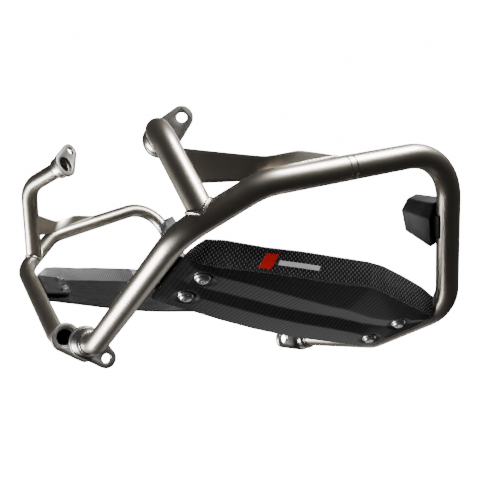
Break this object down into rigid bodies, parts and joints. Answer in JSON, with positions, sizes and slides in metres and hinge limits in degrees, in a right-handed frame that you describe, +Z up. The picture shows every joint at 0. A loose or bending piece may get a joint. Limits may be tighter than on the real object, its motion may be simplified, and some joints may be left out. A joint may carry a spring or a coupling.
{
  "type": "motorcycle engine guard",
  "caption": "Pair of bent-tube engine guards for a flat-twin motorcycle, with struts, bolt lugs, gussets, carbon-fibre cylinder plates on brackets and bumper pads.",
  "frame": {"origin": "middle of the overall box of both guards", "axes": "+X to the front of the motorcycle, +Y to its left, +Z up"},
  "size_m": [0.3668, 0.7459, 0.3342],
  "materials": {
    "titanium": "satin bead-blasted titanium",
    "machined_titanium": "turned and milled titanium",
    "carbon_fibre": "lacquered woven carbon fibre",
    "black_painted_metal": "satin black",
    "polished_steel": "bright",
    "black_rubber": "matte black"
  },
  "bodies": {
    "root": {"front_tube_left": "titanium", "rear_tube_left": "titanium", "strut_left": "titanium", "gusset_left": "titanium", "strut_weld_left": "titanium", "joint_ring_left": "machined_titanium", "lower_lug_left_plate": "machined_titanium", "lower_lug_left_socket": "machined_titanium", "upper_lug_left_plate": "machined_titanium", "upper_lug_left_socket": "machined_titanium", "rear_lug_left_plate": "machined_titanium", "rear_lug_left_socket": "machined_titanium", "carbon_plate_left": "carbon_fibre", "front_bracket_left": "black_painted_metal", "rear_bracket_left": "black_painted_metal", "screw_front_upper_left": "polished_steel", "bush_front_upper_left": "black_rubber", "nut_front_upper_left": "polished_steel", "screw_front_lower_left": "polished_steel", "bush_front_lower_left": "black_rubber", "nut_front_lower_left": "polished_steel", "screw_rear_upper_left": "polished_steel", "bush_rear_upper_left": "black_rubber", "nut_rear_upper_left": "polished_steel", "screw_rear_lower_left": "polished_steel", "bush_rear_lower_left": "black_rubber", "nut_rear_lower_left": "polished_steel", "bumper_saddle_left": "black_painted_metal", "bumper_pad_left": "black_rubber", "front_tube_right": "titanium", "rear_tube_right": "titanium", "strut_right": "titanium", "gusset_right": "titanium", "strut_weld_right": "titanium", "joint_ring_right": "machined_titanium", "lower_lug_right_plate": "machined_titanium", "lower_lug_right_socket": "machined_titanium", "upper_lug_right_plate": "machined_titanium", "upper_lug_right_socket": "machined_titanium", "rear_lug_right_plate": "machined_titanium", "rear_lug_right_socket": "machined_titanium", "carbon_plate_right": "carbon_fibre", "front_bracket_right": "black_painted_metal", "rear_bracket_right": "black_painted_metal", "screw_front_upper_right": "polished_steel", "bush_front_upper_right": "black_rubber", "nut_front_upper_right": "polished_steel", "screw_front_lower_right": "polished_steel", "bush_front_lower_right": "black_rubber", "nut_front_lower_right": "polished_steel", "screw_rear_upper_right": "polished_steel", "bush_rear_upper_right": "black_rubber", "nut_rear_upper_right": "polished_steel", "screw_rear_lower_right": "polished_steel", "bush_rear_lower_right": "black_rubber", "nut_rear_lower_right": "polished_steel", "bumper_saddle_right": "black_painted_metal", "bumper_pad_right": "black_rubber"}
  },
  "joints": []
}
